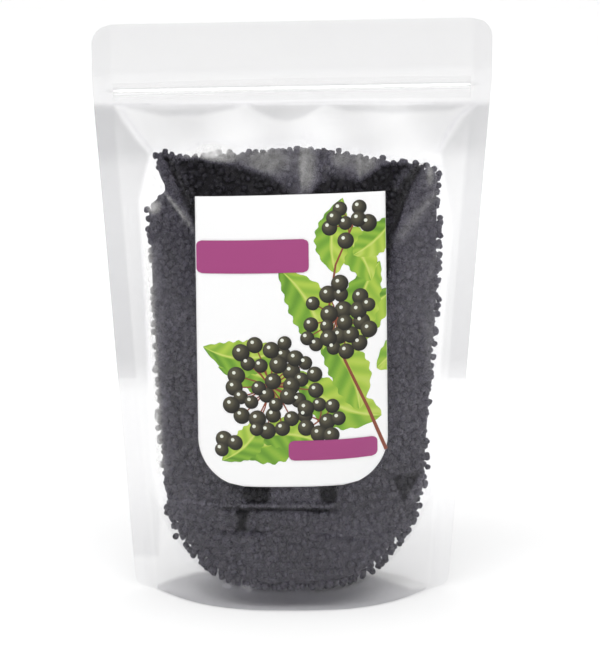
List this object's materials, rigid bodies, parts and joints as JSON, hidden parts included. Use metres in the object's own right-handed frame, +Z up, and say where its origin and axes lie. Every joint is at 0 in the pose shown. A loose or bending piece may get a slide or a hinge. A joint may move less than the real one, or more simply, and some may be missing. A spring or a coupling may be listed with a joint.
{
  "type": "clear stand-up zip pouch of dried elderberries",
  "caption": "Clear stand-up pouch with a round bottom gusset, welded sides, a press-to-close zip and a front label, filled with small dark dried berries.",
  "frame": {"origin": "middle of the base, on the surface that the pouch stands on", "axes": "+Z up, from the base to the mouth; the labelled front faces -Y; the side welds are at -X and +X"},
  "size_m": [0.1806, 0.0874, 0.2635],
  "materials": {
    "clear_film": "clear glossy film laminate",
    "zip_plastic": "milky clear extruded polyethylene",
    "label_paper": "coated self-adhesive paper",
    "dried_berry": "wrinkled matt dried fruit skin"
  },
  "bodies": {
    "root": {"front_panel": "clear_film", "back_panel": "clear_film", "bottom_gusset": "clear_film", "zip_channel": "zip_plastic", "zip_arrow": "zip_plastic", "front_label": "label_paper", "dried_berries": "dried_berry"}
  },
  "joints": []
}
